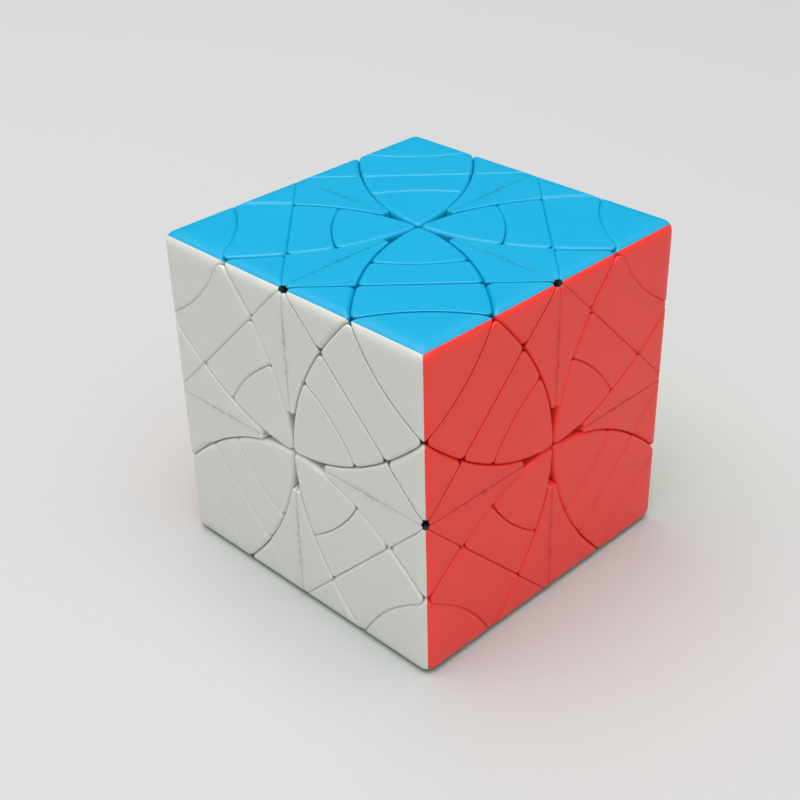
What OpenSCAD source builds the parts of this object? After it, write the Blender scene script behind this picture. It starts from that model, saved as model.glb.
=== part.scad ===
// Cube-shaped twisty puzzle. It turns about its face axes and corner axes on flat
// cuts through the centre, and about its twelve edge axes on 45-degree cones.
// The cuts leave 152 outer pieces on a split core that holds the screws and springs.
// Frame: origin at the centre of the cube, +Z up, +X to the right, +Y to the back.

/* [Size] */
// Edge length of the whole cube
cube_w = 64; // [62:0.5:70]
// Gap between two neighbouring pieces
groove = 0.5; // [0.4:0.05:0.6]
// Where a fin is cut short, as a part of the half width
fin_start = 0.25; // [0.22:0.01:0.3]

/* [Outer pieces] */
// Distance from the centre to the underside of every outer block
block_in = 22; // [21:0.5:23]
// Thickness of the curved feet that slide on the core
foot_t = 2.7; // [2:0.1:3]
// Radius of the open hole at the middle of each cube edge
edge_hole_r = 0.8; // [0.7:0.1:1.5]

/* [Core] */
// Radius of the split core ball
core_r = 14; // [13.5:0.1:14.5]
// Radius of the stub axle that joins the two halves of the core
axle_r = 4; // [3.5:0.1:4.2]
// Running clearance round every shaft, on the radius
run_gap = 0.05; // [0.03:0.01:0.1]

/* [Edge hubs] */
// Radius of the hub stem that each edge cap turns with
hub_r = 2; // [1.8:0.1:2.1]
// Radius of the hub flange that holds the pieces down
flange_r = 4.6; // [4:0.1:4.8]
// Distance from the centre to the underside of the flange
flange_in = 25; // [24.8:0.1:25.5]
// Radius of the screw shanks
screw_r = 1; // [0.8:0.05:1.1]

/* [Hidden] */

$fn = 64;
gap = groove / 2;
reach = 2 * cube_w;
cone_h = cube_w;
core_gap = 0.3;
foot_in = core_r + core_gap;
foot_out = foot_in + foot_t;
// How far a cut runs past the faces it opens, and a joined solid into the next one
past = 1;
overlap = 0.1;

// Radii of the round necks between the blocks and their feet
corner_neck_r = 1.8;
tip_neck_r = 1.6;
strip_neck_r = 1.3;
wedge_neck_r = 1.3;
fin_neck_r = 1;

// Edge hub and its hardware, as distances from the centre along the edge axis
flange_t = 1.6;
flange_out = flange_in + flange_t;
cup_out = flange_in + 5.5;
cup_r = 3.4;
cup_bore = 2.6;
spring_seat = flange_in + 0.6;
spring_h = 3;
spring_r = 2.2;
spring_bore = 1.4;
washer_t = 0.5;
washer_r = 2.4;
head_h = 1.4;
head_r = 2.2;
edge_screw_in = 8;
flange_gap = 0.3;
pocket_out = cup_out + 0.5;

// Centre screw and its hardware, as heights above the centre
axle_top = 8;
centre_bore = 5;
centre_spring_h = 3;
centre_spring_r = 4.6;
centre_spring_bore = 3.4;
centre_washer_r = 4.8;
centre_head_r = 3;
centre_screw_r = 1.5;
centre_screw_in = -9;

// The cube faces, in the order top, bottom, right, left, back, front
FACE_TURNS = [[0, 0, 0], [180, 0, 0], [0, 90, 0], [0, -90, 0], [-90, 0, 0], [90, 0, 0]];
FACE_COLOURS = ["deepskyblue", "limegreen", "indianred", "orangered", "gold", "whitesmoke"];
FACES = [0:5];
ENDS = [0:1];
QUARTERS = [0:3];

// The bodies: four edge caps, then what is left of the upper and the lower half
TOP_RIGHT = 0;
TOP_LEFT = 1;
BOTTOM_FRONT = 2;
BOTTOM_BACK = 3;
UPPER = 4;
LOWER = 5;
CAP_AXES = [[1, 0, 1], [-1, 0, 1], [0, -1, -1], [0, 1, -1]];
HALF_HUB_AXES = [[[0, 1, 1], [0, -1, 1]], [[1, 0, -1], [-1, 0, -1]]];
EDGE_AXES = [
    [[1, 0, 1], [-1, 0, 1], [0, 1, 1], [0, -1, 1]],
    [[1, 0, -1], [-1, 0, -1], [0, 1, -1], [0, -1, -1]]
];

// Directions through the middle of the first piece of each kind, in the top face
CORNER_AIM = [1, 1, 1];
WEDGE_AIM = [1, 0.27, 1];
OUTER_AIM = [0.6, 0.6, 1];
INNER_AIM = [0.42, 0.42, 1];
TIP_AIM = [0.2, 0.2, 1];
FIN_AIM = [0.68, 0.115, 1];

// A direction turned by a number of quarter turns about Z
function quartered(v, q) = q == 0 ? v : quartered([-v[1], v[0], v[2]], q - 1);

// A direction in the top face carried to another face, as FACE_TURNS does it
function faced(v, f) =
    f == 0 ? v :
    f == 1 ? [v[0], -v[1], -v[2]] :
    f == 2 ? [v[2], v[1], -v[0]] :
    f == 3 ? [-v[2], v[1], v[0]] :
    f == 4 ? [v[0], v[2], -v[1]] :
    [v[0], -v[2], v[1]];

// A direction mirrored in the face's diagonal
function swapped(v) = [v[1], v[0], v[2]];

// True when a direction lies inside the 45-degree cone about an axis
function in_cone(v, axis) = v * axis > norm(v) * norm(axis) * cos(45);

// The body that carries the piece lying in a direction
function body_of(v) =
    in_cone(v, CAP_AXES[0]) ? TOP_RIGHT :
    in_cone(v, CAP_AXES[1]) ? TOP_LEFT :
    in_cone(v, CAP_AXES[2]) ? BOTTOM_FRONT :
    in_cone(v, CAP_AXES[3]) ? BOTTOM_BACK :
    v[2] > 0 ? UPPER : LOWER;

// Turns +Z to point along a direction
module aim(v) rotate([0, acos(v[2] / norm(v)), atan2(v[1], v[0])]) children();

// Solid 45-degree cone from the centre, with its surface moved in by a clearance
module cone(axis, inset = gap)
    aim(axis) translate([0, 0, inset * sqrt(2)]) cylinder(h = cone_h, r1 = 0, r2 = cone_h);

// All space on the side of a plane through the centre that its normal points to
module side(normal)
    aim(normal) translate([-reach / 2, -reach / 2, gap]) cube(reach);

// Pocket along the edge axis for the hub and screw, and the hole above them
module edge_pocket() aim([1, 0, 1]) {
    cylinder(h = flange_in, r = hub_r + gap);
    translate([0, 0, flange_in - flange_gap])
        cylinder(h = pocket_out - flange_in + flange_gap, r = flange_r + flange_gap);
    cylinder(h = cube_w, r = edge_hole_r);
}

// What is cut away under a block to leave its neck and foot, down to the core
module track(direction, neck_r) {
    difference() {
        sphere(block_in);
        sphere(foot_out);
        aim(direction) cylinder(h = cube_w, r = neck_r);
    }
    sphere(foot_in);
}

// Corner of the cube, inside the cones of the three edges that meet there
module corner_piece() difference() {
    intersection() {
        cube(cube_w, center = true);
        cone([1, 0, 1]);
        cone([0, 1, 1]);
        cone([1, 1, 0]);
    }
    track(CORNER_AIM, corner_neck_r);
}

// Triangle that wraps the cube edge beside its middle
module wedge_piece() difference() {
    intersection() {
        cube(cube_w, center = true);
        cone([1, 0, 1]);
        side([1, 1, -1]);
        side([-1, 1, 1]);
    }
    cone([0, 1, 1], -gap);
    cone([1, 1, 0], -gap);
    track(WEDGE_AIM, wedge_neck_r);
    edge_pocket();
}

// Strip next to the corner
module outer_strip_piece() difference() {
    intersection() {
        cube(cube_w, center = true);
        cone([1, 0, 1]);
        cone([0, 1, 1]);
        side([1, 1, -1]);
    }
    cone([1, 1, 0], -gap);
    track(OUTER_AIM, strip_neck_r);
}

// Strip between the outer strip and the petal tip
module inner_strip_piece() difference() {
    intersection() {
        cube(cube_w, center = true);
        cone([1, 0, 1]);
        cone([0, 1, 1]);
        side([-1, -1, 1]);
    }
    cone([-1, -1, 4], -gap);
    track(INNER_AIM, strip_neck_r);
}

// Pointed piece that reaches the middle of the face
module petal_tip_piece() difference() {
    intersection() {
        cube(cube_w, center = true);
        cone([1, 0, 1]);
        cone([0, 1, 1]);
        cone([-1, -1, 4]);
    }
    track(TIP_AIM, tip_neck_r);
}

// One half of the slim fin between two petals
module fin_piece() difference() {
    intersection() {
        cube(cube_w, center = true);
        cone([1, 0, 1]);
        side([0, 1, 0]);
        side([-1, -1, 1]);
        side([1, 0, -fin_start]);
    }
    cone([0, 1, 1], -gap);
    track(FIN_AIM, fin_neck_r);
    edge_pocket();
}

// Copies a first piece to every quarter of the faces given, for one body
module spread(direction, body, faces = FACES)
    for (f = faces, q = QUARTERS)
        if (body_of(faced(quartered(direction, q), f)) == body)
            color(FACE_COLOURS[f]) rotate(FACE_TURNS[f]) rotate([0, 0, 90 * q]) children();

module corners(body) spread(CORNER_AIM, body, ENDS) corner_piece();
module wedges(body) spread(WEDGE_AIM, body) wedge_piece();
module outer_strips(body) spread(OUTER_AIM, body) outer_strip_piece();
module inner_strips(body) spread(INNER_AIM, body) inner_strip_piece();
module petal_tips(body) spread(TIP_AIM, body) petal_tip_piece();
module fins(body) {
    spread(FIN_AIM, body) fin_piece();
    spread(swapped(FIN_AIM), body) mirror([1, -1, 0]) fin_piece();
}

module top_right_cap_corners() corners(TOP_RIGHT);
module top_right_cap_wedges() wedges(TOP_RIGHT);
module top_right_cap_outer_strips() outer_strips(TOP_RIGHT);
module top_right_cap_inner_strips() inner_strips(TOP_RIGHT);
module top_right_cap_petal_tips() petal_tips(TOP_RIGHT);
module top_right_cap_fins() fins(TOP_RIGHT);

module top_left_cap_corners() corners(TOP_LEFT);
module top_left_cap_wedges() wedges(TOP_LEFT);
module top_left_cap_outer_strips() outer_strips(TOP_LEFT);
module top_left_cap_inner_strips() inner_strips(TOP_LEFT);
module top_left_cap_petal_tips() petal_tips(TOP_LEFT);
module top_left_cap_fins() fins(TOP_LEFT);

module bottom_front_cap_corners() corners(BOTTOM_FRONT);
module bottom_front_cap_wedges() wedges(BOTTOM_FRONT);
module bottom_front_cap_outer_strips() outer_strips(BOTTOM_FRONT);
module bottom_front_cap_inner_strips() inner_strips(BOTTOM_FRONT);
module bottom_front_cap_petal_tips() petal_tips(BOTTOM_FRONT);
module bottom_front_cap_fins() fins(BOTTOM_FRONT);

module bottom_back_cap_corners() corners(BOTTOM_BACK);
module bottom_back_cap_wedges() wedges(BOTTOM_BACK);
module bottom_back_cap_outer_strips() outer_strips(BOTTOM_BACK);
module bottom_back_cap_inner_strips() inner_strips(BOTTOM_BACK);
module bottom_back_cap_petal_tips() petal_tips(BOTTOM_BACK);
module bottom_back_cap_fins() fins(BOTTOM_BACK);

module upper_half_wedges() wedges(UPPER);
module upper_half_outer_strips() outer_strips(UPPER);
module upper_half_inner_strips() inner_strips(UPPER);
module upper_half_petal_tips() petal_tips(UPPER);
module upper_half_fins() fins(UPPER);

module lower_half_wedges() wedges(LOWER);
module lower_half_outer_strips() outer_strips(LOWER);
module lower_half_inner_strips() inner_strips(LOWER);
module lower_half_petal_tips() petal_tips(LOWER);
module lower_half_fins() fins(LOWER);

// Hub of an edge axis: a sleeve on the screw, a flange and a cup for the spring
module hub(axis) color("dimgray") aim(axis) difference() {
    union() {
        translate([0, 0, foot_in]) cylinder(h = flange_out - foot_in, r = hub_r);
        translate([0, 0, flange_in]) cylinder(h = flange_t, r = flange_r);
        translate([0, 0, flange_in]) cylinder(h = cup_out - flange_in, r = cup_r);
    }
    translate([0, 0, core_r]) cylinder(h = cup_out, r = screw_r + run_gap);
    translate([0, 0, spring_seat]) cylinder(h = cup_out, r = cup_bore);
}

module top_right_cap_hub() hub(CAP_AXES[TOP_RIGHT]);
module top_left_cap_hub() hub(CAP_AXES[TOP_LEFT]);
module bottom_front_cap_hub() hub(CAP_AXES[BOTTOM_FRONT]);
module bottom_back_cap_hub() hub(CAP_AXES[BOTTOM_BACK]);
module upper_half_hubs() for (axis = HALF_HUB_AXES[0]) hub(axis);
module lower_half_hubs() for (axis = HALF_HUB_AXES[1]) hub(axis);

// Round-headed screw standing in the core on an edge axis
module edge_screw(axis) color("silver") aim(axis) {
    head_at = spring_seat + spring_h + washer_t;
    translate([0, 0, edge_screw_in]) cylinder(h = head_at - edge_screw_in + overlap, r = screw_r);
    translate([0, 0, head_at]) cylinder(h = head_h, r = head_r);
}

// Compression spring on an edge screw, as a plain sleeve of its outer size
module edge_spring(axis) color("lightgray") aim(axis) translate([0, 0, spring_seat]) difference() {
    cylinder(h = spring_h, r = spring_r);
    translate([0, 0, -past]) cylinder(h = spring_h + 2 * past, r = spring_bore);
}

// Washer between the edge spring and the screw head
module edge_washer(axis) color("silver") aim(axis) translate([0, 0, spring_seat + spring_h]) difference() {
    cylinder(h = washer_t, r = washer_r);
    translate([0, 0, -past]) cylinder(h = washer_t + 2 * past, r = screw_r + run_gap);
}

module upper_edge_screws() for (axis = EDGE_AXES[0]) edge_screw(axis);
module lower_edge_screws() for (axis = EDGE_AXES[1]) edge_screw(axis);
module upper_edge_springs() for (axis = EDGE_AXES[0]) edge_spring(axis);
module lower_edge_springs() for (axis = EDGE_AXES[1]) edge_spring(axis);
module upper_edge_washers() for (axis = EDGE_AXES[0]) edge_washer(axis);
module lower_edge_washers() for (axis = EDGE_AXES[1]) edge_washer(axis);

// Blind holes that the edge screws are driven into
module screw_holes(axes)
    for (axis = axes) aim(axis) translate([0, 0, edge_screw_in]) cylinder(h = core_r, r = screw_r);

// Upper half of the core, which turns on the lower half's stub axle
module upper_core() color("dimgray") difference() {
    intersection() {
        sphere(core_r);
        side([0, 0, 1]);
    }
    cylinder(h = 2 * core_r, r = axle_r + run_gap);
    translate([0, 0, axle_top]) cylinder(h = core_r, r = centre_bore);
    screw_holes(EDGE_AXES[0]);
}

// Lower half of the core, with the stub axle
module lower_core() color("dimgray") difference() {
    union() {
        intersection() {
            sphere(core_r);
            side([0, 0, -1]);
        }
        translate([0, 0, -past]) cylinder(h = axle_top + past - gap, r = axle_r);
    }
    translate([0, 0, centre_screw_in]) cylinder(h = core_r * 2, r = centre_screw_r);
    screw_holes(EDGE_AXES[1]);
}

// Sleeve-shaped envelope of the spring that presses the halves of the core together
module centre_spring() color("lightgray") translate([0, 0, axle_top]) difference() {
    cylinder(h = centre_spring_h, r = centre_spring_r);
    translate([0, 0, -past]) cylinder(h = centre_spring_h + 2 * past, r = centre_spring_bore);
}

// Washer under the head of the centre screw
module centre_washer() color("silver") translate([0, 0, axle_top + centre_spring_h]) difference() {
    cylinder(h = washer_t, r = centre_washer_r);
    translate([0, 0, -past]) cylinder(h = washer_t + 2 * past, r = centre_screw_r + run_gap);
}

// Screw along Z through both halves of the core
module centre_screw() color("silver") {
    head_at = axle_top + centre_spring_h + washer_t;
    translate([0, 0, centre_screw_in]) cylinder(h = head_at - centre_screw_in + overlap, r = centre_screw_r);
    translate([0, 0, head_at]) cylinder(h = head_h, r = centre_head_r);
}

top_right_cap_corners();
top_right_cap_wedges();
top_right_cap_outer_strips();
top_right_cap_inner_strips();
top_right_cap_petal_tips();
top_right_cap_fins();
top_left_cap_corners();
top_left_cap_wedges();
top_left_cap_outer_strips();
top_left_cap_inner_strips();
top_left_cap_petal_tips();
top_left_cap_fins();
bottom_front_cap_corners();
bottom_front_cap_wedges();
bottom_front_cap_outer_strips();
bottom_front_cap_inner_strips();
bottom_front_cap_petal_tips();
bottom_front_cap_fins();
bottom_back_cap_corners();
bottom_back_cap_wedges();
bottom_back_cap_outer_strips();
bottom_back_cap_inner_strips();
bottom_back_cap_petal_tips();
bottom_back_cap_fins();
upper_half_wedges();
upper_half_outer_strips();
upper_half_inner_strips();
upper_half_petal_tips();
upper_half_fins();
lower_half_wedges();
lower_half_outer_strips();
lower_half_inner_strips();
lower_half_petal_tips();
lower_half_fins();
top_right_cap_hub();
top_left_cap_hub();
bottom_front_cap_hub();
bottom_back_cap_hub();
upper_half_hubs();
lower_half_hubs();
upper_edge_screws();
lower_edge_screws();
upper_edge_springs();
lower_edge_springs();
upper_edge_washers();
lower_edge_washers();
upper_core();
lower_core();
centre_screw();
centre_spring();
centre_washer();
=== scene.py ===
"""A cube-shaped twisty puzzle in moulded ABS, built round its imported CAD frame."""

import bpy
import numpy as np
from mathutils import Matrix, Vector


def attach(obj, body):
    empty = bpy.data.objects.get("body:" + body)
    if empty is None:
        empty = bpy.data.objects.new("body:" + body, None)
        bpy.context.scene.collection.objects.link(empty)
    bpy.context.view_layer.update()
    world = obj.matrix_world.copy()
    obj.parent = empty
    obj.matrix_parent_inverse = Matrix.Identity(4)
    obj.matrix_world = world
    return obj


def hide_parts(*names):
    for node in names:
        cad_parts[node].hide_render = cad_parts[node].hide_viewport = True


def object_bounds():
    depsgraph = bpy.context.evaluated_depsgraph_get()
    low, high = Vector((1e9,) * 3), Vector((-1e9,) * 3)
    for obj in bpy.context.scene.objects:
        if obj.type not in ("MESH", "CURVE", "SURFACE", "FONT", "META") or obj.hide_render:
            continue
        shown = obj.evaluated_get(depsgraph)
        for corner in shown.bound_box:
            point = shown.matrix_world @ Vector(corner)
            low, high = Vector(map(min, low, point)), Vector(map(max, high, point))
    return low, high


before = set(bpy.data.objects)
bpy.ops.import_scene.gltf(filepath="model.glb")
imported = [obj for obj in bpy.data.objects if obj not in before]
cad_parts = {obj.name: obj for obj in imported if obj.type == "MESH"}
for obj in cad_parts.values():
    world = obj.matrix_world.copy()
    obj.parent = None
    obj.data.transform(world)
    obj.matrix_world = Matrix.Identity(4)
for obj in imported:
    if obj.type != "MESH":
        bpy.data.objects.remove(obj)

cad_bounds = [list(corner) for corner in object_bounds()]


# ---------------------------------------------------------------------------------------------
# Petal tips
# The pointed pieces that meet in the middle of each face. Each is one moulding in ABS, which is
# hollow and snaps together from a coloured block above and a curved foot that slides on the core.
# ---------------------------------------------------------------------------------------------

MM = 0.001
HALF = cad_bounds[1][2] / MM

# Every length of the puzzle below is in millimetres. A first piece lies in the top face, between
# +X and +Y, and is turned to its other places afterwards.
CAP_GAP = 0.06
FLAT_GAP = 0.045
SEAM_GAP = 0.045
PLAN_ROUND = 1.12
TOP_ROUND = 0.78
# The top edges along the flat cuts and the arcs are rounded less than along the edge cones.
FLAT_SHARE = 0.55
CUBE_EDGE_ROUND = 2.2
BLOCK_IN = 22.0
FOOT_OUT = 17.0
FOOT_IN = 14.3
NECK_FILLET = 0.3
FOOT_BEVEL = 0.3
SIDE_STEPS = 18
CORNER_STEPS = 8
ROUND_STEPS = 5
CURVE_SAMPLES = 1500
HALVINGS = 30
# Where the rings of a top lie between its middle and its edge, closer together at the middle.
TOP_SPREAD = (0.0, 0.03, 0.06, 0.1, 0.16, 0.28, 0.5, 0.75, 0.93)
WALL_SPREAD = (0.06, 0.4, 1.0)
# A piece's own colours are numbered 0 for the top face, 1 for +X and 2 for +Y.
BLACK = 3


def unit(v):
    """Vectors divided by their own lengths, along the last axis."""
    return v / np.linalg.norm(v, axis=-1, keepdims=True)


def parabola(start, end):
    """The edge cone's cut across a face, y = x squared over 2, for x from start to end."""
    x = np.linspace(start, end, CURVE_SAMPLES)
    return np.stack([x, x * x / 2], axis=1) * HALF


def petal_arc(start, end):
    """The 45-degree cone about (-1, -1, 4) cut by the face, in polar form: for each angle, the
    positive root r of r r (8 - 2 c s) + 8 r (c + s) - 7 = 0, with c and s its cosine and sine."""
    angle = np.linspace(start, end, CURVE_SAMPLES)
    c, s = np.cos(angle), np.sin(angle)
    a, b = 8 - 2 * c * s, 8 * (c + s)
    r = (np.sqrt(b * b + 28 * a) - b) / (2 * a)
    return np.stack([r * c, r * s], axis=1) * HALF


def straight(start, end):
    """Evenly spaced points from start to end."""
    t = np.linspace(0, 1, CURVE_SAMPLES)[:, None]
    return (np.array(start) * (1 - t) + np.array(end) * t) * HALF


def swapped(points):
    """Points mirrored in the face's diagonal, in reverse order, so the piece stays on the left."""
    return points[::-1, ::-1]


def left_normals(points):
    """The way to the inside of an outline that runs anticlockwise: its tangent turned left."""
    tangent = unit(np.gradient(points, axis=0))
    return np.stack([-tangent[:, 1], tangent[:, 0]], axis=1)


def crossing(a, b):
    """The samples of two curves where they come closest, as their places along a and b."""
    apart = ((a[:, None, :] - b[None, :, :]) ** 2).sum(axis=2)
    return np.unravel_index(np.argmin(apart), apart.shape)


def outline(sides, gaps, radius, closed=True):
    """Rounds the corners of an outline and keeps it parallel to its sides.

    Each side is moved in by its gap plus the radius. Where two moved sides cross is the centre of
    the rounded corner between them. Returned are the moved points and their inward normals, so
    the outline inset by d is points - (radius - d) * normals: along a side it is parallel, and
    round a corner it is an arc. Each point's gap is returned too, blended round the corners. An
    open outline starts and ends halfway round a corner."""
    normals = [left_normals(s) for s in sides]
    moved = [s + n * (g + radius) for s, n, g in zip(sides, normals, gaps)]
    count = len(sides)
    pairs = range(count) if closed else range(count - 1)
    cuts = {i: crossing(moved[i], moved[(i + 1) % count]) for i in pairs}
    turn = np.linspace(0, 1, 2 * CORNER_STEPS + 1)[:, None]
    points, inward, gap = [], [], []

    def add_corner(i, part):
        j = (i + 1) % count
        centre = (moved[i][cuts[i][0]] + moved[j][cuts[i][1]]) / 2
        start, end = normals[i][cuts[i][0]], normals[j][cuts[i][1]]
        swing = np.arccos(np.clip(start @ end, -1, 1))
        arc = (np.sin((1 - turn) * swing) * start + np.sin(turn * swing) * end) / np.sin(swing)
        points.append(np.tile(centre, (len(arc[part]), 1)))
        inward.append(arc[part])
        gap.append(gaps[i] + (gaps[j] - gaps[i]) * turn[part, 0])

    def add_side(i):
        first, last = cuts[(i - 1) % count][1], cuts[i][0]
        spread = (1 - np.cos(np.linspace(0, np.pi, SIDE_STEPS + 2)[1:-1])) / 2
        at = first + spread * (last - first)
        low = np.floor(at).astype(int)
        part = (at - low)[:, None]
        points.append(moved[i][low] * (1 - part) + moved[i][low + 1] * part)
        inward.append(unit(normals[i][low] * (1 - part) + normals[i][low + 1] * part))
        gap.append(np.full(SIDE_STEPS, gaps[i]))

    if closed:
        for i in range(count):
            add_side(i)
            add_corner(i, slice(None))
    else:
        add_corner(0, slice(CORNER_STEPS, None))
        for i in range(1, count - 1):
            add_side(i)
            add_corner(i, slice(None) if i < count - 2 else slice(0, CORNER_STEPS + 1))
    return np.concatenate(points), np.concatenate(inward), np.concatenate(gap)


def on_top(points):
    """Points of the top face, from the plane to the cube."""
    return np.concatenate([points, np.full((len(points), 1), HALF)], axis=1)


def soften(p, radius=CUBE_EDGE_ROUND):
    """Moves points of the sharp cube along their rays, so that they stay on their cuts, onto the
    cube with rounded edges, and gives the outward normals there. A point is inside that cube
    where it is within the radius of the cube shrunk by the radius, and halving finds the last
    part of its way out that is."""
    low, high = np.full((len(p), 1), 0.9), np.ones((len(p), 1))
    for _ in range(HALVINGS):
        part = (low + high) / 2
        spot = p * part
        away = spot - np.clip(spot, radius - HALF, HALF - radius)
        inside = np.linalg.norm(away, axis=1, keepdims=True) <= radius
        low, high = np.where(inside, part, low), np.where(inside, high, part)
    spot = p * low
    return spot, unit(spot - np.clip(spot, radius - HALF, HALF - radius))


def piece(rings, weight, middle, aim, neck, colours, top_round=TOP_ROUND):
    """One outer piece as one closed surface, lofted through rings that all have one point for
    each sample of its outline.

    rings(d) gives the outline on the sharp cube, inset by d. From the middle of its top, the
    surface runs out over the face, round the top edge in a quarter circle, down the wall along
    rays to the centre of the cube, in to a round neck along aim, and out again to a curved foot.
    weight scales the top edge's radius along the outline, and colours numbers the faces of the
    cube that the samples lie in."""
    def inset(part):
        return rings(part * top_round * weight)

    shell = [soften(middle + (inset(1.16) - middle) * part)[0] for part in TOP_SPREAD]
    shell.append(soften(inset(1.08))[0])
    for a in np.linspace(np.pi / 2, 0, ROUND_STEPS + 1):
        surface, normal = soften(inset(1 - np.cos(a)))
        way = unit(surface)
        depth = (1 - np.sin(a)) * top_round * weight[:, None] / (way * normal).sum(axis=1, keepdims=True)
        shell.append(surface - depth * way)
    reach = np.linalg.norm(shell[-1], axis=1, keepdims=True)
    ray = shell[-1] / reach
    shell += [ray * (reach + (BLOCK_IN - reach) * part) for part in WALL_SPREAD]

    aim = unit(np.array(aim, dtype=float))
    side = unit(ray - (ray @ aim)[:, None] * aim)

    def neck_ring(distance, radius):
        return aim * np.sqrt(distance ** 2 - radius ** 2) + side * radius

    under = [unit(ray + neck_ring(1.0, neck / BLOCK_IN)) * BLOCK_IN]
    under += [neck_ring(BLOCK_IN, neck + NECK_FILLET), neck_ring(BLOCK_IN - NECK_FILLET, neck)]
    under += [neck_ring(FOOT_OUT + NECK_FILLET, neck), neck_ring(FOOT_OUT, neck + NECK_FILLET)]
    edge = unit(ray + aim * FOOT_BEVEL / FOOT_OUT)
    under += [edge * FOOT_OUT, ray * (FOOT_OUT - FOOT_BEVEL), ray * (FOOT_IN + FOOT_BEVEL), edge * FOOT_IN]
    under += [unit(edge * (1 - part) + aim * part) * FOOT_IN for part in (0.4, 0.8)]

    around = len(ray)
    loft = shell[1:] + under
    points = np.concatenate([soften(middle[None, :])[0]] + loft + [aim[None, :] * FOOT_IN])
    ring = np.arange(around)
    after = (ring + 1) % around
    start = 1 + np.arange(len(loft))[:, None] * around
    top = np.stack([np.zeros(around, int), 1 + ring, 1 + after], axis=1)
    quads = np.stack([start[:-1] + ring, start[1:] + ring, start[1:] + after, start[:-1] + after], axis=2)
    bottom = np.stack([np.full(around, len(points) - 1), start[-1] + after, start[-1] + ring], axis=1)
    shade = np.minimum(colours, colours[after])
    shell_rows, under_rows = len(shell) - 2, len(under)
    black = np.full(around, BLACK)
    return {
        "points": points,
        "tris": np.concatenate([top, bottom]),
        "tri_colours": np.concatenate([shade, black]),
        "quads": quads.reshape(-1, 4),
        "quad_colours": np.concatenate([np.tile(shade, shell_rows), np.tile(black, under_rows)]),
    }


def edge_share(gap):
    """How much of the full radius a top edge has, by the kind of cut, which its gap tells."""
    return np.interp(gap, (FLAT_GAP, CAP_GAP), (FLAT_SHARE, 1))


def flat_piece(sides, gaps, aim, neck, radius=PLAN_ROUND, weight=None, top_round=TOP_ROUND):
    """A piece that lies in one face of the cube, inside the outline that its sides make."""
    points, inward, gap = outline(sides, gaps, radius)
    weight = edge_share(gap) if weight is None else weight(points)
    middle = np.array(aim) / aim[2] * HALF

    def rings(d):
        return on_top(points - (radius - d)[:, None] * inward)

    return piece(rings, weight, middle, aim, neck, np.zeros(len(points), int), top_round)


PETAL_END = np.arctan2(0.125, 0.5)
TIP_AIM = (0.2, 0.2, 1)
tip_side = parabola(0, 0.5)
tip_arc = petal_arc(PETAL_END, np.pi / 2 - PETAL_END)
petal_tip = flat_piece([tip_side, tip_arc, swapped(tip_side)], [CAP_GAP, FLAT_GAP, CAP_GAP], TIP_AIM, 1.6)

# The faces in the order top, bottom, right, left, back, front, as turns of the top face.
FACE_TURNS = [
    Matrix.Identity(3), Matrix.Rotation(np.pi, 3, "X"), Matrix.Rotation(np.pi / 2, 3, "Y"),
    Matrix.Rotation(-np.pi / 2, 3, "Y"), Matrix.Rotation(-np.pi / 2, 3, "X"), Matrix.Rotation(np.pi / 2, 3, "X"),
]
BODY_AXES = {
    "top_right_cap": (1, 0, 1), "top_left_cap": (-1, 0, 1),
    "bottom_front_cap": (0, -1, -1), "bottom_back_cap": (0, 1, -1),
}


def body_at(direction):
    """The body that carries what lies in a direction: the cap whose 45-degree cone holds it,
    or else the half of the cube that it is in."""
    for name, axis in BODY_AXES.items():
        if unit(np.array(axis, float)) @ unit(direction) > np.sqrt(0.5):
            return name
    return "upper_half" if direction[2] > 0 else "lower_half"


def face_at(direction):
    """The number of the face that a direction points out of."""
    axis = int(np.argmax(np.abs(direction)))
    return (2, 4, 0)[axis] + int(direction[axis] < 0)


# The plastic is coloured right through, so a cut or a scratch shows nothing else underneath.
ABS_SHADES = {
    "top": "#00A1C9", "bottom": "#1FA63C", "right": "#FF4238", "left": "#F2602A", "back": "#F4CF14",
    # The black inner ABS also lines the hub holes up to the top face, as painted shade.
    "front": "#D9D9D0", "inner": "#17181B",
}


def linear(colour):
    """An sRGB hex colour as linear RGBA."""
    value = np.array([int(colour[i:i + 2], 16) for i in (1, 3, 5)]) / 255
    return (*np.where(value <= 0.04045, value / 12.92, ((value + 0.055) / 1.055) ** 2.4), 1.0)


def add_node(material, kind, settings=None, **links):
    """Adds a node, sets its properties and inputs, and links its named inputs to outputs."""
    node = material.node_tree.nodes.new(kind)
    for key, value in (settings or {}).items():
        if hasattr(node, key):
            setattr(node, key, value)
        else:
            node.inputs[key].default_value = value
    for key, output in links.items():
        material.node_tree.links.new(node.inputs[key.replace("_", " ")], output)
    return node


def new_material(name, **settings):
    """A material with its shader's plain settings, and the shader and its Object coordinates."""
    material = bpy.data.materials.new(name)
    material.use_nodes = True
    shader = material.node_tree.nodes["Principled BSDF"]
    for key, value in settings.items():
        shader.inputs[key.replace("_", " ")].default_value = value
    place = add_node(material, "ShaderNodeTexCoord").outputs["Object"]
    return material, shader, place


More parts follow.
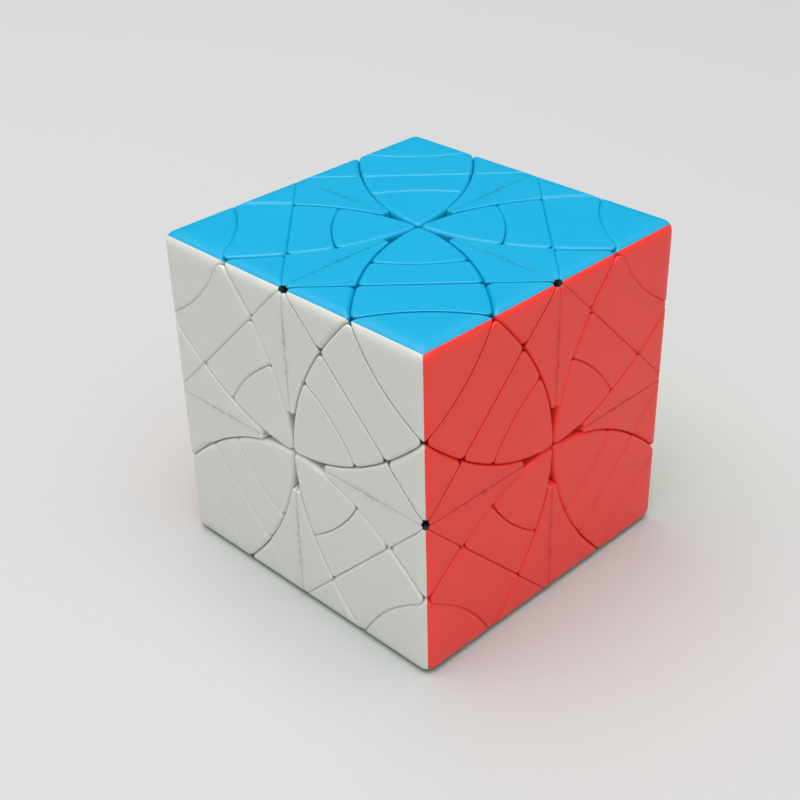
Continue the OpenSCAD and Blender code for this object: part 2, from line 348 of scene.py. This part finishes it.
def moulded_abs(name, colour):
    """Injection-moulded ABS from a spark-eroded mould: satin, with soft wide highlights. The
    texture is 0.05 mm grit, drawn as coarse as 0.25 mm so that it shows, and handling gives
    patches about 12 mm wide a little more gloss. Along a fin's seam the colour is darkened in
    broken dashes, which is painted shade of the seam."""
    material, shader, place = new_material(
        name, IOR=1.46, Subsurface_Weight=0.4, Subsurface_Scale=0.002, Subsurface_Radius=(1, 1, 1))
    links = material.node_tree.links
    grain = add_node(material, "ShaderNodeTexNoise", {"Scale": 4000.0, "Detail": 1.0}, Vector=place)
    cloud = add_node(material, "ShaderNodeTexNoise", {"Scale": 80.0, "Detail": 3.0}, Vector=place)
    seam_shade_breaks = add_node(material, "ShaderNodeTexNoise", {"Scale": 900.0, "Detail": 4.0}, Vector=place)
    gloss = add_node(material, "ShaderNodeMapRange", {"To Min": 0.36, "To Max": 0.5}, Value=cloud.outputs["Fac"])
    links.new(shader.inputs["Roughness"], gloss.outputs["Result"])
    tone = add_node(material, "ShaderNodeMapRange", {"To Min": 0.94, "To Max": 1.06}, Value=grain.outputs["Fac"])
    # Painted shade along a fin's seam: the points' mask darkens the colour there, broken into dashes by the noise.
    seam_shade = add_node(material, "ShaderNodeAttribute", {"attribute_name": "seam_shade"})
    patchy_seam_shade = add_node(
        material, "ShaderNodeMapRange", {"From Min": 0.4, "From Max": 0.65, "To Max": -0.36},
        Value=seam_shade_breaks.outputs["Fac"])
    value = add_node(material, "ShaderNodeMath", {"operation": "MULTIPLY_ADD"})
    links.new(value.inputs[0], seam_shade.outputs["Fac"])
    links.new(value.inputs[1], patchy_seam_shade.outputs["Result"])
    links.new(value.inputs[2], tone.outputs["Result"])
    tint = add_node(material, "ShaderNodeHueSaturation", {"Color": linear(colour)}, Value=value.outputs["Value"])
    links.new(shader.inputs["Base Color"], tint.outputs["Color"])
    bump = add_node(material, "ShaderNodeBump", {"Strength": 0.25, "Distance": 0.00002}, Height=grain.outputs["Fac"])
    links.new(shader.inputs["Normal"], bump.outputs["Normal"])
    return material


abs_plastic = {name: moulded_abs(f"moulded_abs_{name}", colour) for name, colour in ABS_SHADES.items()}
BLACK_SLOT = len(abs_plastic) - 1


def put_mesh(name, points, faces, materials, body, nodes, slot, shades=None, seam_shade=None):
    """Makes an object from points in millimetres, and lets it stand for CAD nodes of a body."""
    mesh = bpy.data.meshes.new(name)
    mesh.from_pydata(points * MM, [], faces)
    for material in materials:
        mesh.materials.append(material)
    if shades is not None:
        mesh.polygons.foreach_set("material_index", shades.astype(np.int32))
    # A mask of painted shade along a fin's seam, kept on the points.
    if seam_shade is not None:
        mesh.attributes.new("seam_shade", "FLOAT", "POINT").data.foreach_set("value", seam_shade)
    mesh.polygons.foreach_set("use_smooth", np.ones(len(faces), bool))
    mesh.update()
    made = bpy.data.objects.new(name, mesh)
    bpy.context.scene.collection.objects.link(made)
    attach(made, body)
    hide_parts(*nodes)
    return made


PLAY_DEGREES = 0.03
play = np.random.default_rng(7)


def spread(kind, shape, aim, slot, faces=range(6), mirrored=False, seam_shade=None):
    """Turns a first piece to its place in every quarter of the faces given, and joins the pieces
    that ride on one body into one object. A mirrored twin is added where the piece has one. Each
    piece sits a hair out of true, as loose pieces do: it is turned a little about the centre."""
    sets = {}
    swap = np.array([[0.0, 1, 0], [1, 0, 0], [0, 0, 1]])
    for turn in (FACE_TURNS[f] for f in faces):
        for quarter in range(4):
            for flip in [np.eye(3), swap][:1 + mirrored]:
                place = np.array(turn @ Matrix.Rotation(quarter * np.pi / 2, 3, "Z")) @ flip
                sets.setdefault(body_at(place @ np.array(aim, float)), []).append(place)
    tones = np.concatenate([shape["tri_colours"], shape["quad_colours"]])
    # The mask of painted shade along a fin's seam, for each point of the piece.
    seam_shade_marks = None if seam_shade is None else seam_shade(shape["points"])
    for body, places in sets.items():
        points, polygons, shades = [], [], []
        for place in places:
            lean = np.array(Matrix.Rotation(np.radians(PLAY_DEGREES * play.uniform(-1, 1)), 3, play.normal(size=3)))
            start = len(points) * len(shape["points"])
            points.append(shape["points"] @ (lean @ place).T)
            order = slice(None, None, -1 if np.linalg.det(place) < 0 else 1)
            for key in ("tris", "quads"):
                polygons += (shape[key][:, order] + start).tolist()
            faces_met = [face_at(place @ np.array(n)) for n in ((0, 0, 1), (1, 0, 0), (0, 1, 0))]
            shades.append(np.array(faces_met + [BLACK_SLOT])[tones])
        put_mesh(
            f"{body}_{kind}_abs", np.concatenate(points), polygons, abs_plastic.values(), body,
            [f"{body}_{kind}"], slot, np.concatenate(shades),
            None if seam_shade_marks is None else np.tile(seam_shade_marks, len(places)))


spread("petal_tips", petal_tip, TIP_AIM, "petal_tip_abs")


# ---------------------------------------------------------------------------------------------
# Inner strips
# The curved bands next to the petal tips, one colour each. Like the tips, they are moulded in
# ABS, and their feet run in the track round the core.
# ---------------------------------------------------------------------------------------------

INNER_AIM = (0.42, 0.42, 1)
STRIP_NECK = 1.0
# On the diagonal line x + y = 1, the edge cone's parabola crosses at this x.
CROSS = np.sqrt(3) - 1
inner_side = parabola(0.5, CROSS)
diagonal = straight((CROSS, 1 - CROSS), (1 - CROSS, CROSS))
inner_strip = flat_piece(
    [inner_side, diagonal, swapped(inner_side), tip_arc[::-1]], [CAP_GAP, FLAT_GAP] * 2, INNER_AIM, STRIP_NECK)
spread("inner_strips", inner_strip, INNER_AIM, "strip_abs")


# ---------------------------------------------------------------------------------------------
# Outer strips
# The bands between an inner strip and a corner, one colour each, moulded in ABS. Their pointed
# ends reach the cube's edge.
# ---------------------------------------------------------------------------------------------

OUTER_AIM = (0.6, 0.6, 1)
outer_side = parabola(CROSS, 1)


def corner_arc(start, end):
    """The cut of the cone about (1, 1, 0) across the top face, y = 1 / (2 x)."""
    x = np.linspace(start, end, CURVE_SAMPLES)
    return np.stack([x, 0.5 / x], axis=1) * HALF


outer_strip = flat_piece(
    [outer_side, corner_arc(1, 0.5), swapped(outer_side), diagonal[::-1]],
    [CAP_GAP, FLAT_GAP] * 2, OUTER_AIM, STRIP_NECK)
spread("outer_strips", outer_strip, OUTER_AIM, "strip_abs")


# ---------------------------------------------------------------------------------------------
# Corners
# The eight cube corners, three colours each: three coloured shells of ABS, clipped and glued on
# one foot.
# ---------------------------------------------------------------------------------------------

CORNER_AIM = (1, 1, 1)


def corner_shape():
    """The corner's outline is one arc in each of three faces. One arc is rounded off between its
    mirror images in the cube's two edges, and the other two arcs are the same points with x, y
    and z moved round one and two places."""
    arc = corner_arc(0.5, 1)
    full = 2 * HALF
    before = (arc * (1, -1) + (0, full))[::-1]
    after = (arc * (-1, 1) + (full, 0))[::-1]
    points, inward, _ = outline([before, arc, after], [FLAT_GAP] * 3, PLAN_ROUND, closed=False)
    points, inward = points[:-1], inward[:-1]
    count = len(points)

    def rings(d):
        top = on_top(points - (PLAN_ROUND - d[:count, None]) * inward)
        return np.concatenate([top, np.roll(top, 1, axis=1), np.roll(top, 2, axis=1)])

    colours = np.repeat([0, 1, 2], count)
    return piece(rings, np.full(3 * count, FLAT_SHARE), np.full(3, HALF), CORNER_AIM, 1.8, colours)


spread("corners", corner_shape(), CORNER_AIM, "corner_abs", faces=range(2))


# ---------------------------------------------------------------------------------------------
# Fins
# The slim pointed pieces between two petals, each a left and a right half with a fine seam
# between them. They are moulded in ABS and are held down by the flange of an edge hub.
# ---------------------------------------------------------------------------------------------

FIN_AIM = (0.68, 0.115, 1)
FIN_START = 0.25
FIN_ROUND = 0.33
FIN_TOP_ROUND = 0.24
HUB_R = 2.0
FLANGE_R = 4.6
FLANGE_IN = 25.0
CUP_OUT = FLANGE_IN + 5.5
HUB_CLEARANCE = 0.25
# The hole over each hub is wider along the cube edge, between the wedges, than across it.
FIN_HOLE_R = 0.7
WEDGE_HOLE_R = 1.05
TURN_STEPS = 48


def across_axis(axis):
    """An axis made one unit long, and two unit directions square to it and to each other."""
    axis = unit(np.array(axis, float))
    first = unit(np.cross(axis, (0, 0, 1) if abs(axis[2]) < 0.9 else (0, 1, 0)))
    return axis, first, np.cross(axis, first)


def wrapped_grid(rows, columns, closed_rows):
    """The faces of a grid of points that is closed round its columns, and round its rows too
    where closed_rows is true."""
    row, column = np.meshgrid(np.arange(rows - (not closed_rows)), np.arange(columns), indexing="ij")
    next_row, next_column = (row + 1) % rows, (column + 1) % columns
    corners = [row * columns + column, row * columns + next_column,
               next_row * columns + next_column, next_row * columns + column]
    return np.stack(corners, axis=2).reshape(-1, 4)


def turned_ring(profile, axis):
    """A closed profile of (radius, height) pairs turned round an axis through the origin."""
    axis, first, second = across_axis(axis)
    profile = np.array(profile, float)
    angle = np.linspace(0, 2 * np.pi, TURN_STEPS, endpoint=False)[:, None]
    spoke = np.cos(angle) * first + np.sin(angle) * second
    points = profile[:, None, :1] * spoke + profile[:, None, 1:] * axis
    return points.reshape(-1, 3), wrapped_grid(len(profile), TURN_STEPS, True)


def scratch_object(points, faces, tones):
    """An object for a boolean, which is removed again. Its material numbers are the tones."""
    mesh = bpy.data.meshes.new("scratch")
    mesh.from_pydata(points * MM, [], faces)
    for material in list(abs_plastic.values())[:BLACK + 1]:
        mesh.materials.append(material)
    mesh.polygons.foreach_set("material_index", tones.astype(np.int32))
    made = bpy.data.objects.new("scratch", mesh)
    bpy.context.scene.collection.objects.link(made)
    return made


def read(collection, field, width, kind):
    """One field of a mesh's vertices, polygons or triangles as an array of rows."""
    values = np.empty(len(collection) * width, kind)
    collection.foreach_get(field, values)
    return values.reshape(-1, width)


def with_hub_pocket(shape, hole_r):
    """Cuts the pocket for the edge hub and the hole above it out of a first piece. All the cut
    walls take the black inner ABS, so the hole is black right up to the top face: painted shade
    for the deep hole.
    """
    thin = 0.01
    profile = [
        (thin, FOOT_IN - 2), (HUB_R + HUB_CLEARANCE, FOOT_IN - 2),
        (HUB_R + HUB_CLEARANCE, FLANGE_IN - HUB_CLEARANCE), (FLANGE_R + HUB_CLEARANCE, FLANGE_IN - HUB_CLEARANCE),
        (FLANGE_R + HUB_CLEARANCE, CUP_OUT + 0.5), (hole_r, CUP_OUT + 0.5), (hole_r, 2 * HALF),
        (thin, 2 * HALF),
    ]
    tones = np.concatenate([shape["tri_colours"], shape["quad_colours"]])
    body = scratch_object(shape["points"], shape["tris"].tolist() + shape["quads"].tolist(), tones)
    ring, ring_faces = turned_ring(profile, (1, 0, 1))
    # The cutter's faces are black, so the hole's walls come out black up to the top face: painted shade for the deep
    # hole, with real black only in the foot below.
    cutter = scratch_object(ring, ring_faces, np.full(len(ring_faces), BLACK))
    cut = body.modifiers.new("pocket", "BOOLEAN")
    cut.operation, cut.solver, cut.object = "DIFFERENCE", "EXACT", cutter
    mesh = body.evaluated_get(bpy.context.evaluated_depsgraph_get()).to_mesh()
    mesh.calc_loop_triangles()
    owner = read(mesh.loop_triangles, "polygon_index", 1, np.int32)[:, 0]
    made = {
        "points": read(mesh.vertices, "co", 3, np.float64) / MM,
        "tris": read(mesh.loop_triangles, "vertices", 3, np.int32),
        "tri_colours": read(mesh.polygons, "material_index", 1, np.int32)[owner, 0],
        "quads": np.empty((0, 4), int),
        "quad_colours": np.empty(0, int),
    }
    body.to_mesh_clear()
    bpy.data.objects.remove(body)
    bpy.data.objects.remove(cutter)
    return made


def fin_weight(points):
    """The top edge is tight along the seam, and full away from it."""
    return 0.7 + 0.3 * np.clip((points[:, 1] - 0.5) / 1.5, 0, 1)


def fin_seam_shade(points):
    """Painted shade along the seam, as a mask: within half a millimetre of it on the outer face,
    most at two thirds of the way out from the middle of the face."""
    beside = np.exp(-(points[:, 1] / 0.6) ** 2)
    along = np.exp(-((points[:, 0] - 0.62 * HALF) / (0.2 * HALF)) ** 2)
    return beside * along * (points[:, 2] > HALF - 0.6)


fin_sides = [
    straight((FIN_START - 0.05, 0), (1, 0)), straight((1, 0), (CROSS, 1 - CROSS)),
    parabola(CROSS, FIN_START - 0.05), straight((FIN_START + 0.02, 0.06), (FIN_START - 0.007, -0.02))]
fin_half = flat_piece(
    fin_sides, [SEAM_GAP, FLAT_GAP, CAP_GAP, 0], FIN_AIM, 1.0, FIN_ROUND, fin_weight, FIN_TOP_ROUND)
# The fins carry a mask of painted shade along their seam.
spread("fins", with_hub_pocket(fin_half, FIN_HOLE_R), FIN_AIM, "fin_abs", mirrored=True, seam_shade=fin_seam_shade)


# ---------------------------------------------------------------------------------------------
# Edge wedges
# The triangles that wrap a cube edge on each side of its middle, two colours each: two coloured
# shells of ABS on one foot, under the flange of the edge hub.
# ---------------------------------------------------------------------------------------------

WEDGE_AIM = (1, 0.27, 1)


def wedge_shape():
    """The wedge unfolded about the cube's edge is a kite with two straight and two curved sides.
    u runs along the edge from its middle, and v is the distance from it, positive on the top
    face and negative on the right-hand face."""
    v = np.linspace(1 - CROSS, 0, CURVE_SAMPLES)
    curved = np.stack([(1 - v) ** 2 / 2, v], axis=1) * HALF
    tip = 1 - CROSS
    sides = [straight((0, 0), (tip, -tip)), curved * (1, -1), curved[::-1], straight((tip, tip), (0, 0))]
    points, inward, gap = outline(sides, [FLAT_GAP, CAP_GAP, CAP_GAP, FLAT_GAP], PLAN_ROUND)

    def rings(d):
        flat = points - (PLAN_ROUND - d)[:, None] * inward
        along, across = flat[:, 0], flat[:, 1]
        return np.stack([HALF - np.maximum(across, 0), along, HALF + np.minimum(across, 0)], axis=1)

    on_right = points[:, 1] - PLAN_ROUND * inward[:, 1] < -1e-6
    middle = np.array([1, 0.25, 1]) * HALF
    return piece(rings, edge_share(gap), middle, WEDGE_AIM, 1.3, on_right.astype(int))


spread("wedges", with_hub_pocket(wedge_shape(), WEDGE_HOLE_R), WEDGE_AIM, "edge_wedge_abs")


# ---------------------------------------------------------------------------------------------
# Core and hubs
# The two core halves and the flanged edge hubs, moulded in black ABS. The halves turn on a stub
# axle, and each hub is a sleeve that its screw holds to the core.
# ---------------------------------------------------------------------------------------------

for name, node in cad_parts.items():
    if name.endswith(("_core", "_hub", "_hubs")):
        node.data.materials.clear()
        node.data.materials.append(abs_plastic["inner"])


# ---------------------------------------------------------------------------------------------
# Screws
# Eight pan-head screws hold the edge hubs and a longer one joins the core halves. They are cold
# headed and rolled in steel and zinc plated, with a cross recess in the head.
# ---------------------------------------------------------------------------------------------

EDGE_AXES = {"upper": [(1, 0, 1), (-1, 0, 1), (0, 1, 1), (0, -1, 1)],
             "lower": [(1, 0, -1), (-1, 0, -1), (0, 1, -1), (0, -1, -1)]}
SCREW_STEPS = 32


def zinc_plated_steel():
    """Bright zinc on steel: a light, slightly blue metal with soft reflections, and spots about
    half a millimetre wide where the plating took unevenly."""
    material, shader, place = new_material("zinc_plated_steel", Metallic=1.0, Base_Color=linear("#C3C7CC"))
    spots = add_node(material, "ShaderNodeTexNoise", {"Scale": 2000.0, "Detail": 3.0}, Vector=place)
    rough = add_node(material, "ShaderNodeMapRange", {"To Min": 0.22, "To Max": 0.42}, Value=spots.outputs["Fac"])
    material.node_tree.links.new(shader.inputs["Roughness"], rough.outputs["Result"])
    bump = add_node(material, "ShaderNodeBump", {"Strength": 0.15, "Distance": 0.00002}, Height=spots.outputs["Fac"])
    material.node_tree.links.new(shader.inputs["Normal"], bump.outputs["Normal"])
    return material


zinc = zinc_plated_steel()


def screw(axis, tip, seat, top, shank_r, head_r, pitch):
    """A screw along an axis, on a grid of height by angle. Up to two thirds of the shank the
    radius follows the thread, a triangle wave of height over pitch less the angle's share of a
    turn. The head is a shallow dome, and its cross recess is cut where either the distance from
    one arm's middle line is under its half width and the distance along it under its length."""
    axis, first, second = across_axis(axis)
    angle = np.linspace(0, 2 * np.pi, SCREW_STEPS, endpoint=False)
    thread_end = tip + (seat - tip) * 2 / 3
    height = np.arange(tip, thread_end, pitch / 4)
    wave = np.abs((height[:, None] / pitch - angle / (2 * np.pi)) % 1 - 0.5) * 2
    taper = np.clip((height[:, None] - tip) / pitch, 0.3, 1)
    radii = [shank_r * taper * (1 - 0.22 * wave)]
    heights = [np.tile(height[:, None], SCREW_STEPS)]
    shank = [(shank_r * 0.9, thread_end), (shank_r * 0.9, seat), (head_r * 0.96, seat), (head_r, seat + 0.15)]
    crown = np.array([1.0, 0.97, 0.9, 0.8, 0.7, 0.6, 0.5, 0.4, 0.3, 0.2, 0.1, 0.01])
    dome = seat + 0.4 + (top - seat - 0.4) * np.sqrt(1 - (0.9 * crown) ** 2)
    profile = np.array(shank + list(zip(crown * head_r, dome)))
    radii.append(np.tile(profile[:, :1], SCREW_STEPS))
    heights.append(np.tile(profile[:, 1:], SCREW_STEPS))
    radius, rise = np.concatenate(radii), np.concatenate(heights)
    x, y = np.abs(radius * np.cos(angle)), np.abs(radius * np.sin(angle))
    arm = np.minimum(x, y) < 0.13 * head_r
    recess = arm & (np.maximum(x, y) < 0.62 * head_r) & (rise > seat + 0.3)
    rise = np.where(recess, rise - 0.45 * (top - seat), rise)
    spoke = np.cos(angle)[:, None] * first + np.sin(angle)[:, None] * second
    points = radius[:, :, None] * spoke + rise[:, :, None] * axis
    rows = len(radius)
    caps = [list(range(SCREW_STEPS))[::-1], list(range((rows - 1) * SCREW_STEPS, rows * SCREW_STEPS))]
    return points.reshape(-1, 3), wrapped_grid(rows, SCREW_STEPS, False).tolist() + caps


def joined(parts):
    """Several meshes as one: their points, and their faces numbered on from each other."""
    points, faces, start = [], [], 0
    for part_points, part_faces in parts:
        points.append(part_points)
        faces += [[start + index for index in face] for face in part_faces]
        start += len(part_points)
    return np.concatenate(points), faces


for half, axes in EDGE_AXES.items():
    screws = joined([screw(axis, 8.0, 29.1, 30.5, 1.0, 2.2, 0.8) for axis in axes])
    put_mesh(f"{half}_edge_screws_steel", *screws, [zinc], f"{half}_half", [f"{half}_edge_screws"], "screw_steel")
centre_screw = screw((0, 0, 1), -9.0, 11.5, 12.9, 1.5, 3.0, 1.0)
put_mesh("centre_screw_steel", *centre_screw, [zinc], "lower_half", ["centre_screw"], "screw_steel")


# ---------------------------------------------------------------------------------------------
# Springs
# A coil spring under each screw head pulls its pieces inwards. They are cold-coiled from hard
# drawn wire, with a dead turn at each end.
# ---------------------------------------------------------------------------------------------

WIRE_STEPS = 12
COIL_STEPS = 32


def spring_wire():
    """Hard-drawn steel wire: darker than plate, with fine lines about 0.1 mm apart along it that
    the die has left, drawn at 0.2 mm."""
    material, shader, place = new_material("drawn_spring_wire", Metallic=1.0, Base_Color=linear("#9A9CA0"))
    lines = add_node(material, "ShaderNodeTexNoise", {"Scale": 5000.0, "Detail": 2.0}, Vector=place)
    rough = add_node(material, "ShaderNodeMapRange", {"To Min": 0.25, "To Max": 0.45}, Value=lines.outputs["Fac"])
    material.node_tree.links.new(shader.inputs["Roughness"], rough.outputs["Result"])
    return material


wire = spring_wire()


def spring(axis, low, high, coil_r, wire_r, live_turns):
    """A wire carried round a helix, with one turn at each end that doesn't climb. The middle of
    the wire climbs evenly over the live turns, and each section is a circle across the wire."""
    axis, first, second = across_axis(axis)
    turns = live_turns + 2
    along = np.linspace(0, turns, int(turns * COIL_STEPS) + 1)
    dead_rise = 2.1 * wire_r
    climb = np.interp(along, [0, 1, turns - 1, turns], [0, dead_rise, high - low - 2 * wire_r - dead_rise,
                                                       high - low - 2 * wire_r])
    spin = 2 * np.pi * along[:, None]
    spoke = np.cos(spin) * first + np.sin(spin) * second
    middle = coil_r * spoke + (low + wire_r + climb)[:, None] * axis
    around = np.linspace(0, 2 * np.pi, WIRE_STEPS, endpoint=False)
    section = np.cos(around)[:, None] * spoke[:, None, :] - np.sin(around)[:, None] * axis
    points = middle[:, None, :] + wire_r * section
    rows = len(along)
    caps = [list(range(WIRE_STEPS))[::-1], list(range((rows - 1) * WIRE_STEPS, rows * WIRE_STEPS))]
    return points.reshape(-1, 3), wrapped_grid(rows, WIRE_STEPS, False).tolist() + caps


for half, axes in EDGE_AXES.items():
    springs = joined([spring(axis, 25.6, 28.6, 1.9, 0.28, 2.5) for axis in axes])
    put_mesh(f"{half}_edge_springs_wire", *springs, [wire], f"{half}_half", [f"{half}_edge_springs"], "spring_steel")
centre_spring = spring((0, 0, 1), 8.0, 11.0, 4.1, 0.4, 1.5)
put_mesh("centre_spring_wire", *centre_spring, [wire], "lower_half", ["centre_spring"], "spring_steel")


# ---------------------------------------------------------------------------------------------
# Washers
# A flat washer lies between each spring and its screw head. They are stamped from steel sheet
# and tumbled, so their faces are dull and their edges bright.
# ---------------------------------------------------------------------------------------------


def stamped_steel():
    """Tumbled steel sheet: grey metal with fine scratches about 0.15 mm apart in all directions."""
    material, shader, place = new_material("stamped_steel", Metallic=1.0, Base_Color=linear("#B4B5B6"))
    scratches = add_node(material, "ShaderNodeTexNoise", {"Scale": 6500.0, "Detail": 4.0}, Vector=place)
    rough = add_node(material, "ShaderNodeMapRange", {"To Min": 0.3, "To Max": 0.5}, Value=scratches.outputs["Fac"])
    material.node_tree.links.new(shader.inputs["Roughness"], rough.outputs["Result"])
    return material


washer_steel = stamped_steel()
for name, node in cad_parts.items():
    if name.endswith(("_washers", "_washer")):
        node.data.materials.clear()
        node.data.materials.append(washer_steel)


# ---------------------------------------------------------------------------------------------
# Floor and light
# A pale matte cloth on a table, a large soft lamp overhead, and a room that is bright above and
# dim at eye level.
# ---------------------------------------------------------------------------------------------

FLOOR_HALF = 2.0
UNDER_CUBE = 0.00005

floor_corners = np.array([(-1, -1), (1, -1), (1, 1), (-1, 1)]) * FLOOR_HALF
floor_mesh = bpy.data.meshes.new("floor")
floor_mesh.from_pydata([(x, y, -HALF * MM - UNDER_CUBE) for x, y in floor_corners], [], [(0, 1, 2, 3)])
cloth, cloth_shader, cloth_place = new_material("pale_cotton_cloth", Base_Color=linear("#C1C1BE"), Roughness=0.95)
weave = add_node(cloth, "ShaderNodeTexNoise", {"Scale": 1500.0, "Detail": 2.0}, Vector=cloth_place)
weave_bump = add_node(cloth, "ShaderNodeBump", {"Strength": 0.15, "Distance": 0.0002}, Height=weave.outputs["Fac"])
cloth.node_tree.links.new(cloth_shader.inputs["Normal"], weave_bump.outputs["Normal"])
floor_mesh.materials.append(cloth)
floor = bpy.data.objects.new("floor", floor_mesh)
bpy.context.scene.collection.objects.link(floor)

world = bpy.data.worlds.new("room")
world.use_nodes = True
sky_way = add_node(world, "ShaderNodeTexCoord").outputs["Generated"]
sky_height = add_node(world, "ShaderNodeSeparateXYZ", Vector=sky_way).outputs["Z"]
sky_light = add_node(
    world, "ShaderNodeMapRange", {"From Min": 0.5, "From Max": 0.95, "To Min": 0.12, "To Max": 1.85},
    Value=sky_height).outputs["Result"]
# The room is brighter on the side that the camera looks from, with the cosine of the angle.
room_side = add_node(world, "ShaderNodeVectorMath", {"operation": "DOT_PRODUCT"})
room_side.inputs[1].default_value = (0.715, -0.699, 0)
world.node_tree.links.new(room_side.inputs[0], sky_way)
front_light = add_node(
    world, "ShaderNodeMapRange", {"To Max": 0.4}, Value=room_side.outputs["Value"]).outputs["Result"]
sky_share = add_node(
    world, "ShaderNodeMapRange", {"From Min": -1.0, "To Min": 0.4, "To Max": 1.6},
    Value=room_side.outputs["Value"]).outputs["Result"]
all_light = add_node(world, "ShaderNodeMath", {"operation": "MULTIPLY_ADD"})
for number, light in enumerate((sky_light, sky_share, front_light)):
    world.node_tree.links.new(all_light.inputs[number], light)
world.node_tree.nodes["Background"].inputs["Color"].default_value = linear("#F2F6FA")
world.node_tree.links.new(world.node_tree.nodes["Background"].inputs["Strength"], all_light.outputs["Value"])
bpy.context.scene.world = world

lamp = bpy.data.lights.new("overhead", "AREA")
lamp.shape, lamp.size, lamp.size_y, lamp.energy = "RECTANGLE", 1.0, 1.0, 6.6
overhead = bpy.data.objects.new("overhead", lamp)
overhead.location = (-0.16, -0.16, 1.0)
bpy.context.scene.collection.objects.link(overhead)


# ---------------------------------------------------------------------------------------------
# Camera
# It looks down on the corner between the front and right-hand faces, from eight half widths.
# ---------------------------------------------------------------------------------------------

AZIMUTH, ELEVATION, ROLL = np.radians((45.66, 31.72, 1.57))
# How far the cube's centre lies right of and above the line of sight, and in front of the lens.
RIGHT_BY, ABOVE_BY, AWAY_BY = 0.1236 * HALF, 0.1043 * HALF, 8.029 * HALF
back = np.array([np.sin(AZIMUTH) * np.cos(ELEVATION), -np.cos(AZIMUTH) * np.cos(ELEVATION), np.sin(ELEVATION)])
right = np.array([np.cos(AZIMUTH), np.sin(AZIMUTH), 0])
level = np.array([[np.cos(ROLL), -np.sin(ROLL), 0], [np.sin(ROLL), np.cos(ROLL), 0], [0, 0, 1]])
to_camera = level @ np.array([right, np.cross(back, right), back])
camera_place = to_camera.T @ (-RIGHT_BY, -ABOVE_BY, AWAY_BY) * MM
lens = bpy.data.cameras.new("camera")
lens.lens, lens.sensor_width, lens.clip_start = 61.9, 36.0, 0.01
camera = bpy.data.objects.new("camera", lens)
camera.matrix_world = Matrix.Translation(camera_place) @ Matrix(to_camera.T.tolist()).to_4x4()
bpy.context.scene.collection.objects.link(camera)
bpy.context.scene.camera = camera
bpy.context.scene.view_settings.view_transform = "Standard"
